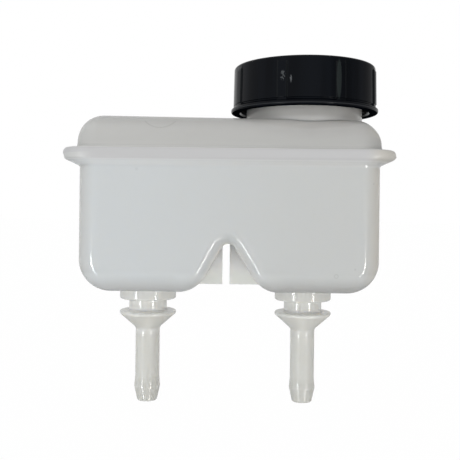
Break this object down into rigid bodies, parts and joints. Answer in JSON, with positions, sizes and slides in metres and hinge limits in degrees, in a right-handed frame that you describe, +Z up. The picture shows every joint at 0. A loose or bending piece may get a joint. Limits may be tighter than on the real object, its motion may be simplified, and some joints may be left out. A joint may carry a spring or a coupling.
{
  "type": "brake fluid reservoir",
  "caption": "Translucent twin-chamber brake fluid tank with a welded flange, a ribbed black screw cap and long hose outlets on grooved collars underneath.",
  "frame": {"origin": "centre of the footprint, at the height of the lower tips of the two hose outlets", "axes": "+X along the tank towards the filler cap, -Y towards the front that the picture shows, +Z up along the outlets and the cap's axis"},
  "size_m": [0.1118, 0.054, 0.1192],
  "materials": {
    "lower_tank_plastic": "milky translucent natural polypropylene, glossy",
    "upper_tank_plastic": "milky translucent natural polypropylene, glossy, a little darker",
    "cap_plastic": "black moulded plastic, glossy",
    "seal_rubber": "black rubber"
  },
  "bodies": {
    "tank": {"lower_tank": "lower_tank_plastic", "upper_tank": "upper_tank_plastic"},
    "seal": {"cap_seal": "seal_rubber"},
    "cap": {"filler_cap": "cap_plastic"}
  },
  "joints": [
    {"name": "cap_lift", "type": "slide", "parent": "tank", "child": "seal", "axis": [0, 0, 1], "range_m": [0, 0.024]},
    {"name": "cap_turn", "type": "hinge", "parent": "seal", "child": "cap", "pos_m": [0.0264, 0, 0.1149], "axis": [0, 0, 1], "range_deg": [0, 2160]}
  ],
  "couplings": [
    {"joint": "cap_lift", "follows": "cap_turn", "m_per_rad": 0.00063661}
  ]
}
